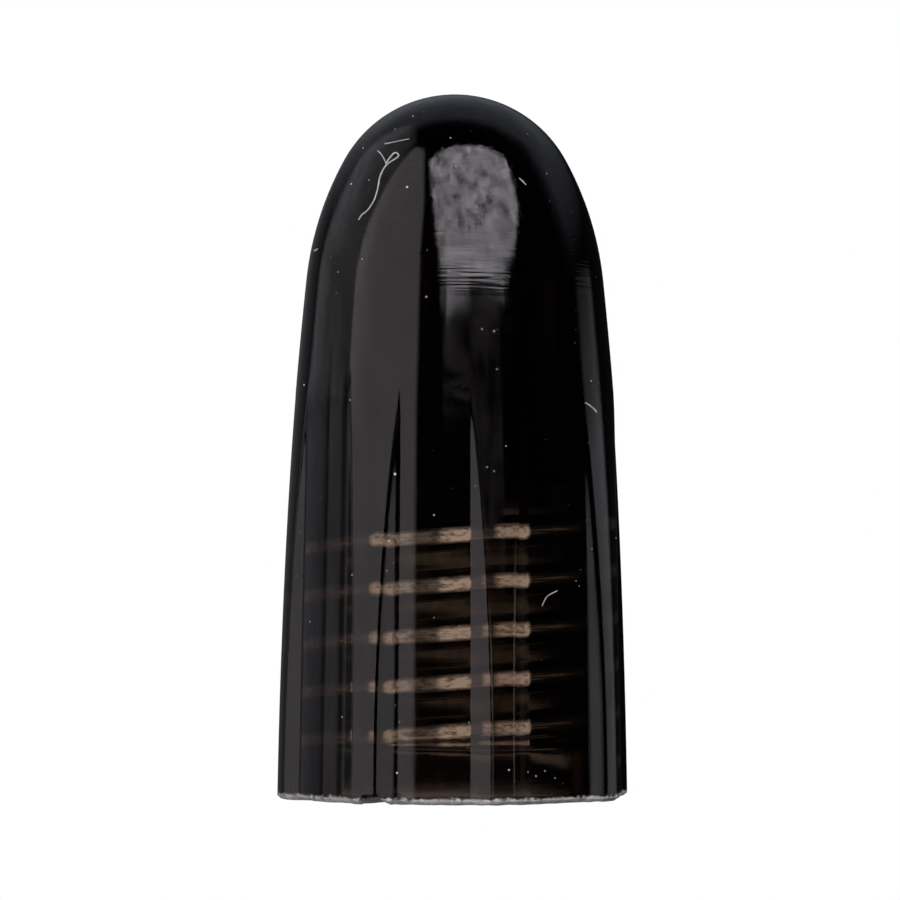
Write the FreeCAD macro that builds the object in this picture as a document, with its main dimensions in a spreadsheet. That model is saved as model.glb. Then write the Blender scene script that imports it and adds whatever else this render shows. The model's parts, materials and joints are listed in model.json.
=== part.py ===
"""Screw-on valve cap moulded in one piece from smoked plastic.

Frame: +Z up, mouth down, origin at the centre of the mouth plane, millimetres.
The front of the cap looks along -Y, and the rim notch is on that side.
"""
import FreeCAD, Part
import os
from math import cos, radians, sin, tan

import Sketcher
from FreeCAD import Placement, Rotation, Vector

OUT = "parts"

# Driving sizes: name, value in mm or degrees or a count, what it is
SIZES = [
    ("cap_height", 15.7, "mouth plane to the top of the nose"),
    ("mouth_radius", 3.98, "over the ribs at the mouth"),
    ("flank_radius", 130.0, "long bow of the flank, seen from the side"),
    ("shoulder_drop", 4.18, "top of the nose down to where the flank begins"),
    ("shoulder_radius", 7.15, "blend between the flank and the nose"),
    ("nose_radius", 2.83, "round end"),
    ("rim_rounding", 0.08, "bevel that takes the edge off the outside of the mouth rim"),
    ("rib_count", 8, "grip ribs round the cap"),
    ("rib_phase", 15.5, "degrees from +X to the middle of the first rib"),
    ("rib_foot", 20.5, "degrees of the circle that the foot of one rib takes"),
    ("rib_height", 0.245, "above the wall, at the mouth"),
    ("rib_slope", 27.0, "degrees between a rib's side and the wall"),
    ("rib_runout", 8.85, "height at which the ribs fade into the body"),
    ("lead_radius", 2.65, "plain entry below the thread"),
    ("lead_depth", 1.15, "straight part of the entry"),
    ("lead_cone", 0.45, "height of the cone between the entry and the thread"),
    ("crest_radius", 2.2, "flat crests of the internal thread"),
    ("thread_radius", 2.6, "roots of the internal thread"),
    ("thread_pitch", 1.058, "24 turns to the inch, right hand"),
    ("thread_flank", 30.0, "degrees between a thread flank and the mouth plane"),
    ("thread_start", 0.74, "middle of the groove at +X, where its sweep starts inside the entry"),
    ("thread_rise", 5.47, "height that the groove climbs"),
    ("thread_land", 0.7, "plain wall from the end of the groove up to the step"),
    ("step_cone", 0.2, "height of the step from the threaded bore to the slim one"),
    ("bore_radius", 1.98, "slim plain bore above the thread"),
    ("bore_depth", 11.1, "mouth plane to the end of the slim bore"),
    ("cavity_depth", 13.7, "mouth plane to the blind end"),
    ("cavity_flat", 0.6, "radius of the small flat at the blind end"),
    ("notch_angle", 27.0, "degrees from the front to the notch, towards -X"),
    ("notch_width", 0.5, "along the rim"),
    ("notch_height", 0.14, "up from the mouth plane"),
]

doc = FreeCAD.newDocument("valve_cap")
sheet = doc.addObject("Spreadsheet::Sheet", "sizes")
for row, (name, value, note) in enumerate(SIZES, start=1):
    sheet.set(f"A{row}", name)
    sheet.set(f"B{row}", str(value))
    sheet.set(f"C{row}", note)
    sheet.setAlias(f"B{row}", name)
doc.recompute()


def size(name):
    """Value of one driving size, as the sheet holds it."""
    return float(sheet.get(name))


body = doc.addObject("PartDesign::Body", "cap")
body.Label = "cap"

# Sketch helpers: points and axes by name, curves, and the constraints that hold them

POINTS = ("curve", "start", "end", "middle")
AXES = ("across", "up")
SQUARE = 90.0
TURN = 360.0


def origin_part(role):
    """Plane or axis of the body's own origin, found by its role."""
    return next(item for item in body.Origin.OriginFeatures if item.Role == role)


def new_sketch(name, role):
    """Empty sketch of the body on one of its origin planes."""
    sketch = body.newObject("Sketcher::SketchObject", name)
    sketch.AttachmentSupport = [(origin_part(role), "")]
    sketch.MapMode = "FlatFace"
    return sketch


def at(curve, point):
    """Point of a sketch curve, as constraints name it."""
    return curve, POINTS.index(point)


def axis_line(name):
    """Axis of a sketch: its curves count up from zero, and its two axes down from there."""
    return -1 - AXES.index(name)


ORIGIN = at(axis_line("across"), "start")


def hold(sketch, kind, *where):
    """Add one geometric constraint to a sketch."""
    sketch.addConstraint(Sketcher.Constraint(kind, *where))


def work_out(sketch, label, kind, expression, value, *where):
    """Add one dimension whose value is an expression on the driving sizes."""
    index = sketch.addConstraint(Sketcher.Constraint(kind, *where, value))
    sketch.renameConstraint(index, label)
    sketch.setExpression(f"Constraints.{label}", expression)


def drive(sketch, name, kind, *where):
    """Add one dimension that is a driving size."""
    work_out(sketch, name, kind, f"sizes.{name}", size(name), *where)


def read_off(sketch, label, kind, value, *where):
    """Add one dimension that only measures, for other features to use."""
    index = sketch.addConstraint(Sketcher.Constraint(kind, *where, value))
    sketch.setDriving(index, False)
    sketch.renameConstraint(index, label)


def chain(sketch, *curves):
    """Join each curve's end to the next one's start."""
    for curve, following in zip(curves, curves[1:]):
        hold(sketch, "Coincident", *at(curve, "end"), *at(following, "start"))


def line(start, end):
    """Straight sketch curve between two points."""
    return Part.LineSegment(Vector(*start, 0), Vector(*end, 0))


def arc(centre, radius, start, end):
    """Sketch arc, counter-clockwise, with its ends in degrees."""
    circle = Part.Circle(Vector(*centre, 0), Vector(0, 0, 1), radius)
    return Part.ArcOfCircle(circle, radians(start), radians(end))


def away(centre, radius, angle):
    """Point at a distance and an angle in degrees from another."""
    return centre[0] + radius * cos(radians(angle)), centre[1] + radius * sin(radians(angle))


def turn_section(sketch, spin, rise):
    """Turn a flat section about the cap's axis and lift it, both by expressions."""
    sketch.AttachmentOffset = Placement(Vector(0, 0, 0), Rotation(Vector(0, 0, 1), 1))
    sketch.setExpression("AttachmentOffset.Rotation.Angle", spin)
    sketch.setExpression("AttachmentOffset.Base.z", rise)


# Outer form: nose, shoulder and flank as three tangent arcs, turned about the axis.
# The three angles are where the arcs are first drawn; the sketch then finds the true ones.

NOSE_JOIN = 29.0
FLANK_JOIN = 6.0
MOUTH_LEAN = 0.7


def outer_form():
    """Solid bullet whose surface is the tops of the ribs and the plain nose."""
    sketch = new_sketch("outline", "XZ_Plane")
    height, mouth, runout = size("cap_height"), size("mouth_radius"), size("rib_runout")
    nose_middle = (0, height - size("nose_radius"))
    shoulder_middle = away(nose_middle, size("nose_radius") - size("shoulder_radius"), NOSE_JOIN)
    flank_middle = away(shoulder_middle, size("shoulder_radius") - size("flank_radius"), FLANK_JOIN)
    nose = sketch.addGeometry(arc(nose_middle, size("nose_radius"), NOSE_JOIN, SQUARE))
    shoulder = sketch.addGeometry(arc(shoulder_middle, size("shoulder_radius"), FLANK_JOIN, NOSE_JOIN))
    flank = sketch.addGeometry(arc(flank_middle, size("flank_radius"), MOUTH_LEAN, FLANK_JOIN))
    rim = sketch.addGeometry(line((mouth, 0), (0, 0)))
    axis = sketch.addGeometry(line((0, 0), (0, height)))
    fade = sketch.addGeometry(Part.Point(Vector(mouth, runout, 0)), True)
    chain(sketch, rim, axis)
    hold(sketch, "Coincident", *at(rim, "end"), *ORIGIN)
    hold(sketch, "Coincident", *at(axis, "end"), *at(nose, "end"))
    hold(sketch, "Coincident", *at(rim, "start"), *at(flank, "start"))
    hold(sketch, "Horizontal", rim)
    hold(sketch, "Vertical", axis)
    hold(sketch, "PointOnObject", *at(nose, "middle"), axis_line("up"))
    hold(sketch, "Tangent", *at(nose, "start"), *at(shoulder, "end"))
    hold(sketch, "Tangent", *at(shoulder, "start"), *at(flank, "end"))
    hold(sketch, "PointOnObject", *at(fade, "start"), flank)
    drive(sketch, "cap_height", "DistanceY", *at(axis, "start"), *at(axis, "end"))
    drive(sketch, "mouth_radius", "DistanceX", *at(rim, "end"), *at(rim, "start"))
    drive(sketch, "nose_radius", "Radius", nose)
    drive(sketch, "shoulder_radius", "Radius", shoulder)
    drive(sketch, "flank_radius", "Radius", flank)
    drive(sketch, "shoulder_drop", "DistanceY", *at(flank, "end"), *at(nose, "end"))
    drive(sketch, "rib_runout", "DistanceY", *ORIGIN, *at(fade, "start"))
    read_off(sketch, "runout_radius", "DistanceX", mouth, *ORIGIN, *at(fade, "start"))
    bullet = body.newObject("PartDesign::Revolution", "bullet")
    bullet.Profile = sketch
    bullet.ReferenceAxis = (sketch, ["V_Axis"])
    bullet.Angle = TURN
    doc.recompute()
    return bullet


# Grip ribs: they are what stands between shallow panels cut into the flank.
# Each panel's wall leans in like a cone and meets the flank at the ribs' run-out.

PANEL_REACH = 1.1
PANEL_CLEAR = 0.6
FOOT_RADIUS = "(sizes.mouth_radius - sizes.rib_height)"
RUNOUT_RADIUS = "outline.Constraints.runout_radius / 1 mm"
TOP_RADIUS = f"{FOOT_RADIUS} + ({RUNOUT_RADIUS} - {FOOT_RADIUS}) * {PANEL_REACH}"
HALF_PANEL = "(360 / sizes.rib_count - sizes.rib_foot) / 2 * 1 deg"


def panel_section(name, wall_radius, rise):
    """Section of one panel: the wall between two ribs, and the ribs' sloping sides."""
    sketch = new_sketch(name, "XY_Plane")
    turn_section(sketch, "(sizes.rib_phase + 180 / sizes.rib_count) * 1 deg", rise)
    half = (TURN / size("rib_count") - size("rib_foot")) / 2
    lean = half + SQUARE - size("rib_slope")
    wall_guess = size("mouth_radius") - size("rib_height")
    left_foot = away((0, 0), wall_guess, half)
    right_foot = away((0, 0), wall_guess, -half)
    left_top = away(left_foot, 2 * PANEL_CLEAR, lean)
    right_top = away(right_foot, 2 * PANEL_CLEAR, -lean)
    wall = sketch.addGeometry(arc((0, 0), wall_guess, -half, half))
    left = sketch.addGeometry(line(left_foot, left_top))
    cover = sketch.addGeometry(line(left_top, right_top))
    right = sketch.addGeometry(line(right_top, right_foot))
    spoke = sketch.addGeometry(line((0, 0), left_foot), True)
    chain(sketch, wall, left, cover, right, wall)
    hold(sketch, "Coincident", *at(wall, "middle"), *ORIGIN)
    hold(sketch, "Coincident", *at(spoke, "start"), *ORIGIN)
    hold(sketch, "Coincident", *at(spoke, "end"), *at(wall, "end"))
    hold(sketch, "Symmetric", *at(wall, "start"), *at(wall, "end"), axis_line("across"))
    hold(sketch, "Symmetric", *at(cover, "start"), *at(cover, "end"), axis_line("across"))
    work_out(sketch, "wall", "Radius", wall_radius, wall_guess, wall)
    work_out(sketch, "half", "Angle", HALF_PANEL, radians(half), spoke)
    work_out(sketch, "side", "Angle", f"{HALF_PANEL} + (90 - sizes.rib_slope) * 1 deg", radians(lean), left)
    work_out(sketch, "clear", "DistanceX", f"sizes.mouth_radius + {PANEL_CLEAR}",
             size("mouth_radius") + PANEL_CLEAR, *ORIGIN, *at(cover, "start"))
    return sketch


def grip_ribs():
    """Panels cut round the flank, so that ribs with sloping sides are left."""
    low = panel_section("panel_at_mouth", FOOT_RADIUS, "0")
    high = panel_section("panel_at_top", TOP_RADIUS, f"sizes.rib_runout * {PANEL_REACH}")
    doc.recompute()
    panel = body.newObject("PartDesign::SubtractiveLoft", "panel")
    panel.Profile = low
    panel.Sections = [(high, [""])]
    panel.Ruled = True
    doc.recompute()
    panels = body.newObject("PartDesign::PolarPattern", "panels")
    panels.Originals = [panel]
    panels.Axis = (low, ["N_Axis"])
    panels.Angle = TURN
    panels.Occurrences = int(size("rib_count"))
    panels.setExpression("Occurrences", "sizes.rib_count")
    body.Tip = panels
    doc.recompute()
    return panels


FLUSH = 0.001


def eased_rim(before):
    """Small bevel all along the outer edge of the mouth."""
    edges = [f"Edge{number}" for number, edge in enumerate(before.Shape.Edges, start=1)
             if edge.BoundBox.ZMax < FLUSH]
    bevel = body.newObject("PartDesign::Chamfer", "rim_bevel")
    bevel.Base = (before, edges)
    bevel.setExpression("Size", "sizes.rim_rounding")
    doc.recompute()
    return bevel


# Inside: entry, thread bore, slim bore and tapered blind end, turned; then the thread

LAND_TOP = "(sizes.thread_start + sizes.thread_rise + sizes.thread_land)"
TAPER_BULGE = 20.0


def hollow():
    """Stepped blind bore, open at the mouth."""
    sketch = new_sketch("bore_outline", "XZ_Plane")
    lead, crest, slim = size("lead_radius"), size("crest_radius"), size("bore_radius")
    flat = size("cavity_flat")
    cone_top = size("lead_depth") + size("lead_cone")
    land_top = size("thread_start") + size("thread_rise") + size("thread_land")
    slim_foot = land_top + size("step_cone")
    depth, top = size("bore_depth"), size("cavity_depth")
    dome = ((slim - flat) ** 2 + (top - depth) ** 2) / (2 * (slim - flat))
    bulge = away((slim - dome, depth), dome, TAPER_BULGE)
    mouth = sketch.addGeometry(line((0, 0), (lead, 0)))
    entry = sketch.addGeometry(line((lead, 0), (lead, size("lead_depth"))))
    cone = sketch.addGeometry(line((lead, size("lead_depth")), (crest, cone_top)))
    threaded = sketch.addGeometry(line((crest, cone_top), (crest, land_top)))
    step_down = sketch.addGeometry(line((crest, land_top), (slim, slim_foot)))
    wall = sketch.addGeometry(line((slim, slim_foot), (slim, depth)))
    taper = sketch.addGeometry(Part.Arc(Vector(slim, depth, 0), Vector(*bulge, 0), Vector(flat, top, 0)))
    end = sketch.addGeometry(line((flat, top), (0, top)))
    axis = sketch.addGeometry(line((0, top), (0, 0)))
    chain(sketch, mouth, entry, cone, threaded, step_down, wall)
    chain(sketch, taper, end, axis, mouth)
    hold(sketch, "Tangent", *at(wall, "end"), *at(taper, "start"))
    hold(sketch, "Coincident", *at(mouth, "start"), *ORIGIN)
    for level in (mouth, end):
        hold(sketch, "Horizontal", level)
    for upright in (entry, threaded, wall, axis):
        hold(sketch, "Vertical", upright)
    drive(sketch, "lead_radius", "DistanceX", *at(mouth, "start"), *at(mouth, "end"))
    drive(sketch, "lead_depth", "DistanceY", *at(entry, "start"), *at(entry, "end"))
    drive(sketch, "lead_cone", "DistanceY", *at(cone, "start"), *at(cone, "end"))
    drive(sketch, "crest_radius", "DistanceX", *ORIGIN, *at(threaded, "start"))
    work_out(sketch, "land_top", "DistanceY", LAND_TOP, land_top, *ORIGIN, *at(threaded, "end"))
    drive(sketch, "step_cone", "DistanceY", *at(step_down, "start"), *at(step_down, "end"))
    drive(sketch, "bore_radius", "DistanceX", *ORIGIN, *at(wall, "start"))
    drive(sketch, "bore_depth", "DistanceY", *ORIGIN, *at(wall, "end"))
    drive(sketch, "cavity_depth", "DistanceY", *at(axis, "end"), *at(axis, "start"))
    drive(sketch, "cavity_flat", "DistanceX", *at(end, "end"), *at(end, "start"))
    groove = body.newObject("PartDesign::Groove", "bore")
    groove.Profile = sketch
    groove.ReferenceAxis = (sketch, ["V_Axis"])
    groove.Angle = TURN
    doc.recompute()
    return groove


ROOT_SHARE = 6
THREAD_OVERLAP = 0.06


def thread():
    """Right-hand internal thread: one groove that climbs from the entry cone."""
    sketch = new_sketch("thread_groove", "XZ_Plane")
    start, root, inner = size("thread_start"), size("thread_radius"), size("crest_radius") - THREAD_OVERLAP
    half_root = size("thread_pitch") / ROOT_SHARE / 2
    half_open = half_root + (root - inner) * tan(radians(size("thread_flank")))
    bottom = sketch.addGeometry(line((root, start - half_root), (root, start + half_root)))
    upper = sketch.addGeometry(line((root, start + half_root), (inner, start + half_open)))
    opening = sketch.addGeometry(line((inner, start + half_open), (inner, start - half_open)))
    lower = sketch.addGeometry(line((inner, start - half_open), (root, start - half_root)))
    centre = sketch.addGeometry(line((inner, start), (root, start)), True)
    chain(sketch, bottom, upper, opening, lower, bottom)
    hold(sketch, "Vertical", bottom)
    hold(sketch, "Vertical", opening)
    hold(sketch, "Horizontal", centre)
    hold(sketch, "Symmetric", *at(bottom, "start"), *at(bottom, "end"), *at(centre, "end"))
    hold(sketch, "Symmetric", *at(opening, "start"), *at(opening, "end"), *at(centre, "start"))
    drive(sketch, "thread_radius", "DistanceX", *ORIGIN, *at(centre, "end"))
    drive(sketch, "thread_start", "DistanceY", *ORIGIN, *at(centre, "end"))
    work_out(sketch, "opening", "DistanceX", f"sizes.crest_radius - {THREAD_OVERLAP}",
             inner, *ORIGIN, *at(centre, "start"))
    work_out(sketch, "root_flat", "DistanceY", f"sizes.thread_pitch / {ROOT_SHARE}",
             2 * half_root, *at(bottom, "start"), *at(bottom, "end"))
    work_out(sketch, "flank", "Angle", "sizes.thread_flank * 1 deg", radians(size("thread_flank")), lower)
    doc.recompute()
    helix = body.newObject("PartDesign::SubtractiveHelix", "thread")
    helix.Profile = sketch
    helix.ReferenceAxis = (sketch, ["V_Axis"])
    helix.Mode = 0
    helix.Pitch = size("thread_pitch")
    helix.Height = size("thread_rise")
    helix.Turns = size("thread_rise") / size("thread_pitch")
    helix.Angle = 0
    helix.Growth = 0
    helix.LeftHanded = False
    helix.Reversed = False
    helix.setExpression("Pitch", "sizes.thread_pitch")
    helix.setExpression("Height", "sizes.thread_rise")
    doc.recompute()
    return helix


NOTCH_CLEAR = 0.6


def rim_notch():
    """Small notch across the rim, to the left of the front."""
    sketch = new_sketch("notch_outline", "XY_Plane")
    turn_section(sketch, "(-90 - sizes.notch_angle) * 1 deg", "0")
    half = size("notch_width") / 2
    inner, outer = size("lead_radius") - NOTCH_CLEAR, size("mouth_radius") + NOTCH_CLEAR
    near = sketch.addGeometry(line((inner, -half), (outer, -half)))
    outside = sketch.addGeometry(line((outer, -half), (outer, half)))
    far = sketch.addGeometry(line((outer, half), (inner, half)))
    inside = sketch.addGeometry(line((inner, half), (inner, -half)))
    chain(sketch, near, outside, far, inside, near)
    hold(sketch, "Horizontal", near)
    hold(sketch, "Horizontal", far)
    hold(sketch, "Vertical", inside)
    hold(sketch, "Symmetric", *at(outside, "start"), *at(outside, "end"), axis_line("across"))
    drive(sketch, "notch_width", "DistanceY", *at(outside, "start"), *at(outside, "end"))
    work_out(sketch, "inner", "DistanceX", f"sizes.lead_radius - {NOTCH_CLEAR}",
             inner, *ORIGIN, *at(inside, "start"))
    work_out(sketch, "outer", "DistanceX", f"sizes.mouth_radius + {NOTCH_CLEAR}",
             outer, *ORIGIN, *at(outside, "start"))
    doc.recompute()
    notch = body.newObject("PartDesign::Pocket", "rim_notch")
    notch.Profile = sketch
    notch.Type = "Length"
    notch.Length = size("notch_height")
    notch.setExpression("Length", "sizes.notch_height")
    notch.Reversed = True
    doc.recompute()
    return notch


def cut(name, before, make):
    """Make one feature that removes material, and stop if it removed none."""
    feature = make()
    removed = before.Shape.Volume - feature.Shape.Volume
    print(f"{name}: volume {feature.Shape.Volume:.3f} mm3, removed {removed:.3f}")
    if removed <= 0:
        raise RuntimeError(f"{name} removed nothing")
    return feature


bullet = outer_form()
print(f"bullet: volume {bullet.Shape.Volume:.3f} mm3")
ribbed = cut("ribs", bullet, grip_ribs)
eased = cut("rim bevel", ribbed, lambda: eased_rim(ribbed))
hollowed = cut("bore", eased, hollow)
notched = cut("rim notch", hollowed, rim_notch)
cut("thread", notched, thread)

# Checks, then one file for the one piece

doc.recompute()
for item in doc.Objects:
    if "Invalid" in item.State or "Error" in item.State:
        raise RuntimeError(f"{item.Name} failed: {item.State}")
for item in doc.Objects:
    if item.TypeId == "Sketcher::SketchObject" and not item.FullyConstrained:
        raise RuntimeError(f"sketch {item.Name} is not fully constrained")

os.makedirs(OUT, exist_ok=True)
shape = body.Shape
if shape.isNull() or not shape.isValid() or len(shape.Solids) != 1:
    raise RuntimeError("the cap is not one valid solid")
shape.exportStep(os.path.join(OUT, f"{body.Label}.step"))
box = shape.optimalBoundingBox(True, False)
print(f"cap: {box.XLength:.3f} x {box.YLength:.3f} x {box.ZLength:.3f} mm, faces {len(shape.Faces)}")
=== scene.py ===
# %% [markdown]
# # A smoked plastic valve cap
#
# The object is a small screw-on cap, 15.7 mm tall, moulded in one piece from dark see-through
# plastic. It has a round nose, eight shallow grip ribs, and a blind threaded bore whose turns
# show through the wall as brown-gold bands.
# The imported CAD model is loaded first. It stays as the fixed frame, and the piece made here
# has to lie where it lies, so its box is kept and printed beside the piece's box at the end.

import bmesh
import bpy
import json
import numpy as np
from math import asin, cos, degrees, hypot, pi, radians, sin, sqrt, tan
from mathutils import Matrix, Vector, noise


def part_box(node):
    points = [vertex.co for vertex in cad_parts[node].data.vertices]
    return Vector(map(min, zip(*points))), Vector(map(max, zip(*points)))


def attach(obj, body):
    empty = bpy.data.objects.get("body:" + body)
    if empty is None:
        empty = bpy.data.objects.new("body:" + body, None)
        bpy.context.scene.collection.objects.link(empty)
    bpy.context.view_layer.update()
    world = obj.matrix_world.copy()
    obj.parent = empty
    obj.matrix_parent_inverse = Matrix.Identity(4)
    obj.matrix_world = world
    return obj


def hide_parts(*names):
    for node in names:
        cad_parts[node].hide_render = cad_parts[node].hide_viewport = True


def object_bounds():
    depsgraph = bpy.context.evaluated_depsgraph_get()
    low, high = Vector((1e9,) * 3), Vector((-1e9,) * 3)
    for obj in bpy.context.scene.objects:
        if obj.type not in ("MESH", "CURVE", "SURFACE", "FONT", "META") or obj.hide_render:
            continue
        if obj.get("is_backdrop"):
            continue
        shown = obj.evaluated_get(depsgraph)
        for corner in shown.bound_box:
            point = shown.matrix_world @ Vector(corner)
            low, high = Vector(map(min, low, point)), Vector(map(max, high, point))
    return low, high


MM = 0.001
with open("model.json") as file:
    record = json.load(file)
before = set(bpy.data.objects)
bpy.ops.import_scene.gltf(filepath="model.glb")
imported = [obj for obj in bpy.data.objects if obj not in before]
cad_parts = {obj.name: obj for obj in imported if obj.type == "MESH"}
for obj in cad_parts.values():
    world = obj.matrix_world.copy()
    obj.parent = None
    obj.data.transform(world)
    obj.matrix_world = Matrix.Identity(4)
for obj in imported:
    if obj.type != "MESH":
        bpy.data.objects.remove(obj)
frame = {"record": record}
cad_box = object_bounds()
cap_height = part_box("cap")[1].z / MM
mounts = {mount["name"]: mount["dims"]["r_mm"] for mount in frame["record"]["mounts"] if mount["dims"]}
print(f"cap is {cap_height:.2f} mm tall, bores of radius {mounts} mm")

# %% [markdown]
# ## The side view of the body
#
# Seen from the side the body is three arcs that run into each other: the nose, a shoulder, and
# a long, slightly bowed flank. A drawn curve could be traced, but three arcs with shared
# tangents are what a mould maker would cut, and they give clean highlights. Only the two angles
# where the arcs meet have to be found, and halving an interval does that.

# %% Arcs of the outline, in millimetres
NOSE_RADIUS = 2.83
SHOULDER_RADIUS = 7.15
FLANK_RADIUS = 130.0
SHOULDER_DROP = 4.18
MOUTH_RADIUS = 3.98


def outline_arcs(flank_join):
    """Centres of the three arcs and the angle of the nose's join, for one angle of the flank's."""
    level = cap_height - SHOULDER_DROP - SHOULDER_RADIUS * sin(flank_join)
    nose_level = cap_height - NOSE_RADIUS
    nose_join = asin((nose_level - level) / (SHOULDER_RADIUS - NOSE_RADIUS))
    shoulder_x = (NOSE_RADIUS - SHOULDER_RADIUS) * cos(nose_join)
    flank_x = shoulder_x - (FLANK_RADIUS - SHOULDER_RADIUS) * cos(flank_join)
    flank_level = level - (FLANK_RADIUS - SHOULDER_RADIUS) * sin(flank_join)
    return nose_join, nose_level, (shoulder_x, level), (flank_x, flank_level)


HALVINGS = 60
low, high = radians(3), radians(10)
for halving in range(HALVINGS):
    middle = (low + high) / 2
    flank_centre = outline_arcs(middle)[3]
    if hypot(MOUTH_RADIUS - flank_centre[0], flank_centre[1]) > FLANK_RADIUS:
        low = middle
    else:
        high = middle
flank_join = middle
nose_join, nose_level, shoulder_centre, flank_centre = outline_arcs(flank_join)
nose_foot = nose_level + NOSE_RADIUS * sin(nose_join)
flank_top = cap_height - SHOULDER_DROP


def body_radius(z):
    """Radius of the body at a height, over the tops of the ribs."""
    if z > nose_foot:
        return sqrt(max(NOSE_RADIUS ** 2 - (z - nose_level) ** 2, 0))
    if z > flank_top:
        return shoulder_centre[0] + sqrt(SHOULDER_RADIUS ** 2 - (z - shoulder_centre[1]) ** 2)
    return flank_centre[0] + sqrt(FLANK_RADIUS ** 2 - (z - flank_centre[1]) ** 2)


print(f"arcs meet at {degrees(nose_join):.1f} and {degrees(flank_join):.2f} degrees")
print(f"radius at the mouth {body_radius(0):.3f} mm")

# %% [markdown]
# ## The grip ribs
#
# Between the ribs lie eight panels, sunk a quarter of a millimetre into the flank at the mouth.
# Their wall leans in like a cone, so it meets the bowed flank higher up and the ribs run out
# there by themselves. A boolean cut would leave ragged shading, so the radius is worked out
# for every point instead: the wall of the panel, then the rib's sloping side, then the body.

# %% Radius of the ribbed flank
RIBS = 8
PITCH_OF_RIBS = 360 / RIBS
PANEL_CENTRE = -7.0
PANEL_HALF = 12.25
SIDE_LEAN = 75.25
WALL_AT_MOUTH = MOUTH_RADIUS - 0.245
RUN_OUT = 8.85
EDGE_SOFTNESS = 0.014
wall_growth = (body_radius(RUN_OUT) - WALL_AT_MOUTH) / RUN_OUT


def larger(a, b, softness):
    """The larger of two numbers, with the crossing eased."""
    return (a + b + sqrt((a - b) ** 2 + softness ** 2)) / 2


def rib_edge(z):
    """Angle from a panel's middle to the sharp edge of the rib, in degrees."""
    wall = WALL_AT_MOUTH + wall_growth * z
    reach = wall * sin(radians(SIDE_LEAN - PANEL_HALF)) / body_radius(z)
    return max(SIDE_LEAN - degrees(asin(min(reach, 1))), PANEL_HALF + 0.6)


def flank_point(z, turn):
    """Radius of the ribbed surface at a height and an angle from a panel's middle."""
    wall = WALL_AT_MOUTH + wall_growth * z
    slope = sin(radians(SIDE_LEAN - PANEL_HALF)) / sin(radians(SIDE_LEAN - abs(turn)))
    sunk = larger(wall, wall * slope, EDGE_SOFTNESS)
    return -larger(-body_radius(z), -sunk, EDGE_SOFTNESS)


print(f"rib edges {rib_edge(0):.2f} degrees from the panels' middles at the mouth")

# %% [markdown]
# ## Where the columns of the mesh stand
#
# The cap becomes one grid that runs from the nose down the outside, under the rim and up the
# bore. Its columns crowd together at the edges of the ribs, and follow those edges as the ribs
# narrow, so that each edge stays crisp without a million faces.

# %% Columns round the cap
STATIONS = [0.2, 0.4, 0.6, 0.8, 0.93, 0.98, 1, 1.04, 1.12, 1.35, 1.65, 1.88, 1.96, 2, 2.06, 2.2, 2.6]
right_half = [0, *STATIONS, 3]
left_half = [-station for station in reversed(STATIONS)]
columns = []
for rib in range(RIBS):
    columns += [(rib, station) for station in right_half]
    columns += [(rib + 1, station) for station in left_half]
columns.append((RIBS, 0))


def column_turn(z, station):
    """Angle from the panel's middle at which a column crosses a height."""
    marks = [0, PANEL_HALF, rib_edge(z), PITCH_OF_RIBS / 2]
    return float(np.interp(abs(station), range(4), marks)) * (1 if station >= 0 else -1)


foot_angles = [PANEL_CENTRE + PITCH_OF_RIBS * rib + column_turn(0, station) for rib, station in columns]
print(f"{len(columns) - 1} columns")

# %% [markdown]
# ## The rim, worn and a little torn
#
# The photo shows the lower edge as an uneven light-grey line with a small notch left of the
# front: flash from the mould, rubbed down in use. Fractal noise, always with the same seed,
# lifts the rim by a few hundredths of a millimetre and nibbles at its outer corner.
# Nothing goes below the plane on which the cap stands.

# %% Noise and the notch
BEVEL = 0.08
NOTCH_ANGLE = -117.0
NOTCH_WIDTH = 0.5
NOTCH_HEIGHT = 0.14
NOTCH_REACH = 0.6
NOTCH_EASE = 0.05
RIM_WEAR = 0.035
RIM_TEAR = 0.03
RIM_NIBBLE = 0.012
ENTRY_RADIUS = mounts["stem_entry"]


def rough(x, y, z, scale, seed):
    """Fractal noise from 0 to 1."""
    value = noise.fractal(Vector((x * scale + seed, y * scale, z * scale)), 0.8, 2.1, 4)
    return min(max(0.5 + 0.6 * value, 0), 1)


def worn(x, y, z):
    """Lift the rim where it is rubbed or notched."""
    low_share = max(1 - z / NOTCH_REACH, 0)
    wear = RIM_WEAR * rough(x, y, z, 2.6, 7.0) ** 2 * low_share ** 4
    across = abs(-x * sin(radians(NOTCH_ANGLE)) + y * cos(radians(NOTCH_ANGLE)))
    ahead = x * cos(radians(NOTCH_ANGLE)) + y * sin(radians(NOTCH_ANGLE)) > 0
    torn = RIM_TEAR * rough(x, y, 0, 6.0, 3.0)
    depth = min(max((NOTCH_WIDTH / 2 + torn - across) / NOTCH_EASE, 0), 1) if ahead else 0
    return z + wear + depth * (NOTCH_HEIGHT + torn) * low_share


print(f"rim worn by up to {RIM_WEAR} mm, notch {NOTCH_WIDTH} mm wide")


# %% Rows of the outside and of the rim
outer_heights = [BEVEL, 0.1, 0.13, 0.18, 0.25, 0.34, 0.46, 0.6, 0.8]
outer_heights += list(np.linspace(1.1, flank_top, 30))
outer_heights += list(np.linspace(flank_top, nose_foot, 15)[1:])
nose_angles = np.linspace(nose_join, pi / 2, 26)[1:]
outer_heights += [nose_level + NOSE_RADIUS * sin(angle) for angle in nose_angles]
rows = []


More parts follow.
